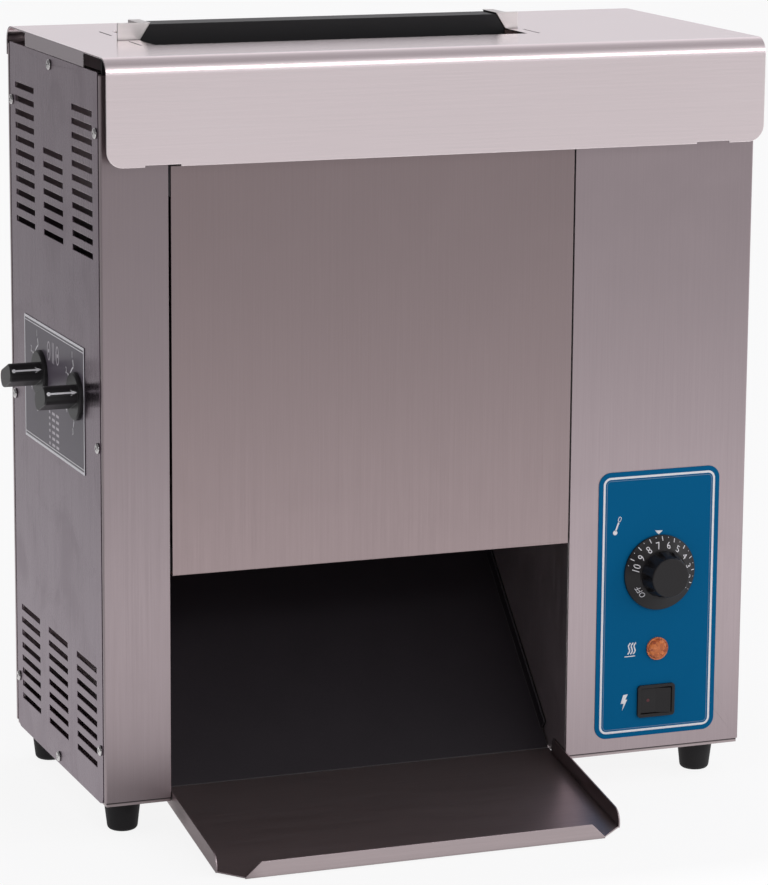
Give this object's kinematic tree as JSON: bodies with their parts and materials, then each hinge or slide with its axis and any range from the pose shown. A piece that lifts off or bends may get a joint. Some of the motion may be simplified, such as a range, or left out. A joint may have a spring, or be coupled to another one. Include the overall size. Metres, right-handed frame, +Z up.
{
  "type": "vertical contact toaster",
  "caption": "Countertop vertical contact toaster: buns drop past a heated platen between two belts and slide out over a chute and landing tray.",
  "frame": {"origin": "middle of the bounding box, at the level of the counter it stands on", "axes": "+Z up, +Y to the back, +X to the right as seen from the front"},
  "size_m": [0.6124, 0.4212, 0.663],
  "materials": {
    "case_steel": "brushed",
    "hood_steel": "polished",
    "inner_steel": "dull",
    "black_coating": "satin",
    "rubber_feet": "matt",
    "fastener_steel": "bright",
    "platen_aluminium": "machined",
    "heater_sheath": "dull",
    "release_cloth": "smooth",
    "belt_silicone": "matt",
    "roller_aluminium": "satin",
    "shaft_steel": "ground",
    "black_plastic": "satin",
    "overlay_blue": "satin",
    "label_grey": "satin",
    "lamp_amber": "gloss",
    "bronze": "plain",
    "motor_paint": "satin",
    "copper_tube": "plain",
    "cable_black": "matt",
    "red_plastic": "gloss",
    "ceramic_white": "satin",
    "chain_steel": "oiled"
  },
  "bodies": {
    "cabinet": {"base_pan": "case_steel", "feet": "rubber_feet", "case_screws": "fastener_steel", "left_front_stile": "case_steel", "control_panel": "case_steel", "left_side_panel": "case_steel", "right_side_panel": "case_steel", "rear_panel": "case_steel", "frame_rails": "inner_steel", "left_inner_wall": "inner_steel", "right_inner_wall": "inner_steel", "wall_bushes": "bronze", "platen": "platen_aluminium", "platen_heaters": "heater_sheath", "platen_brackets": "inner_steel", "release_sheet": "release_cloth", "knob_label": "label_grey", "control_overlay": "overlay_blue", "thermostat_body": "black_plastic", "capillary": "copper_tube", "lamp_body": "lamp_amber", "lamp_lens": "lamp_amber", "switch_housing": "black_plastic", "chute_rails": "inner_steel", "gearmotor": "motor_paint", "motor_bracket": "inner_steel", "drive_chain": "chain_steel", "fan_frame": "black_plastic", "fan_guard": "fastener_steel", "terminal_block": "ceramic_white", "high_limit": "black_plastic", "wiring_loom": "cable_black", "cord_gland": "black_plastic"},
    "hood": {"hood": "hood_steel"},
    "feeder": {"bun_feeder": "black_coating", "feeder_caps": "hood_steel"},
    "front_cover": {"front_cover": "case_steel"},
    "rear_cover": {"rear_cover": "case_steel", "thumb_screws": "fastener_steel"},
    "tray": {"landing_tray": "case_steel", "discharge_chute": "black_coating"},
    "front_knob": {"front_compression_knob": "black_plastic", "front_cam_shaft": "shaft_steel"},
    "rear_knob": {"rear_compression_knob": "black_plastic", "rear_cam_shaft": "shaft_steel"},
    "front_conveyor": {"front_conveyor_frame": "inner_steel", "front_belt": "belt_silicone"},
    "rear_conveyor": {"rear_conveyor_frame": "inner_steel", "rear_belt": "belt_silicone"},
    "front_drive": {"front_drive_roller": "roller_aluminium"},
    "rear_drive": {"rear_drive_roller": "roller_aluminium"},
    "front_idler": {"front_idler_roller": "roller_aluminium"},
    "rear_idler": {"rear_idler_roller": "roller_aluminium"},
    "motor_drive": {"motor_sprocket": "chain_steel"},
    "chain_idler": {"chain_idler_sprocket": "chain_steel"},
    "dial": {"thermostat_dial": "black_plastic"},
    "rocker": {"power_rocker": "black_plastic"},
    "reset": {"reset_button": "red_plastic"},
    "fan": {"fan_impeller": "black_plastic"}
  },
  "joints": [
    {"name": "hood_lift", "type": "slide", "parent": "cabinet", "child": "hood", "axis": [0, 0, 1], "range_m": [0, 0.15]},
    {"name": "feeder_lift", "type": "slide", "parent": "hood", "child": "feeder", "axis": [0, 0, 1], "range_m": [0, 0.12]},
    {"name": "front_cover_pull", "type": "slide", "parent": "cabinet", "child": "front_cover", "axis": [0, -1, 0], "range_m": [0, 0.15]},
    {"name": "rear_cover_pull", "type": "slide", "parent": "cabinet", "child": "rear_cover", "axis": [0, 1, 0], "range_m": [0, 0.12]},
    {"name": "tray_pull", "type": "slide", "parent": "cabinet", "child": "tray", "axis": [0, -1, 0], "range_m": [0, 0.24]},
    {"name": "front_knob_turn", "type": "hinge", "parent": "cabinet", "child": "front_knob", "pos_m": [-0.274, -0.00898, 0.363], "axis": [1, 0, 0], "range_deg": [-60, 60]},
    {"name": "rear_knob_turn", "type": "hinge", "parent": "cabinet", "child": "rear_knob", "pos_m": [-0.274, 0.09702, 0.363], "axis": [1, 0, 0], "range_deg": [-60, 60]},
    {"name": "front_conveyor_swing", "type": "hinge", "parent": "cabinet", "child": "front_conveyor", "pos_m": [-0.03885, -0.00698, 0.595], "axis": [1, 0, 0], "range_deg": [-0.64, 0.64]},
    {"name": "rear_conveyor_swing", "type": "hinge", "parent": "cabinet", "child": "rear_conveyor", "pos_m": [-0.03885, 0.10302, 0.595], "axis": [1, 0, 0], "range_deg": [-0.64, 0.64]},
    {"name": "motor_turn", "type": "hinge", "parent": "cabinet", "child": "motor_drive", "pos_m": [0.1477, 0.05202, 0.50867], "axis": [1, 0, 0], "continuous": true},
    {"name": "front_drive_turn", "type": "hinge", "parent": "front_conveyor", "child": "front_drive", "pos_m": [-0.03885, -0.00698, 0.595], "axis": [1, 0, 0], "continuous": true},
    {"name": "rear_drive_turn", "type": "hinge", "parent": "rear_conveyor", "child": "rear_drive", "pos_m": [-0.03885, 0.10302, 0.595], "axis": [1, 0, 0], "continuous": true},
    {"name": "front_idler_turn", "type": "hinge", "parent": "front_conveyor", "child": "front_idler", "pos_m": [-0.03885, -0.00698, 0.292], "axis": [1, 0, 0], "continuous": true},
    {"name": "rear_idler_turn", "type": "hinge", "parent": "rear_conveyor", "child": "rear_idler", "pos_m": [-0.03885, 0.10302, 0.292], "axis": [1, 0, 0], "continuous": true},
    {"name": "chain_idler_turn", "type": "hinge", "parent": "cabinet", "child": "chain_idler", "pos_m": [0.1477, 0.16062, 0.618], "axis": [1, 0, 0], "continuous": true},
    {"name": "dial_turn", "type": "hinge", "parent": "cabinet", "child": "dial", "pos_m": [0.22375, -0.07898, 0.1901], "axis": [0, 1, 0], "range_deg": [-234, 68]},
    {"name": "rocker_press", "type": "hinge", "parent": "cabinet", "child": "rocker", "pos_m": [0.22305, -0.07698, 0.0759], "axis": [0, 0, 1], "range_deg": [0, 16]},
    {"name": "reset_press", "type": "slide", "parent": "cabinet", "child": "reset", "axis": [0, -1, 0], "range_m": [0, 0.0025], "stiffness_N_per_m": 400, "springref_m": -0.002},
    {"name": "fan_turn", "type": "hinge", "parent": "cabinet", "child": "fan", "pos_m": [0.22275, 0.19302, 0.15], "axis": [0, 1, 0], "continuous": true}
  ],
  "couplings": [
    {"joint": "front_knob_turn", "follows": "front_conveyor_swing", "ratio": 93.51},
    {"joint": "rear_knob_turn", "follows": "rear_conveyor_swing", "ratio": 93.51},
    {"joint": "front_drive_turn", "follows": "motor_turn", "ratio": 0.875},
    {"joint": "front_idler_turn", "follows": "motor_turn", "ratio": 0.875},
    {"joint": "rear_drive_turn", "follows": "motor_turn", "ratio": -0.875},
    {"joint": "rear_idler_turn", "follows": "motor_turn", "ratio": -0.875},
    {"joint": "chain_idler_turn", "follows": "motor_turn", "ratio": 1.4}
  ]
}
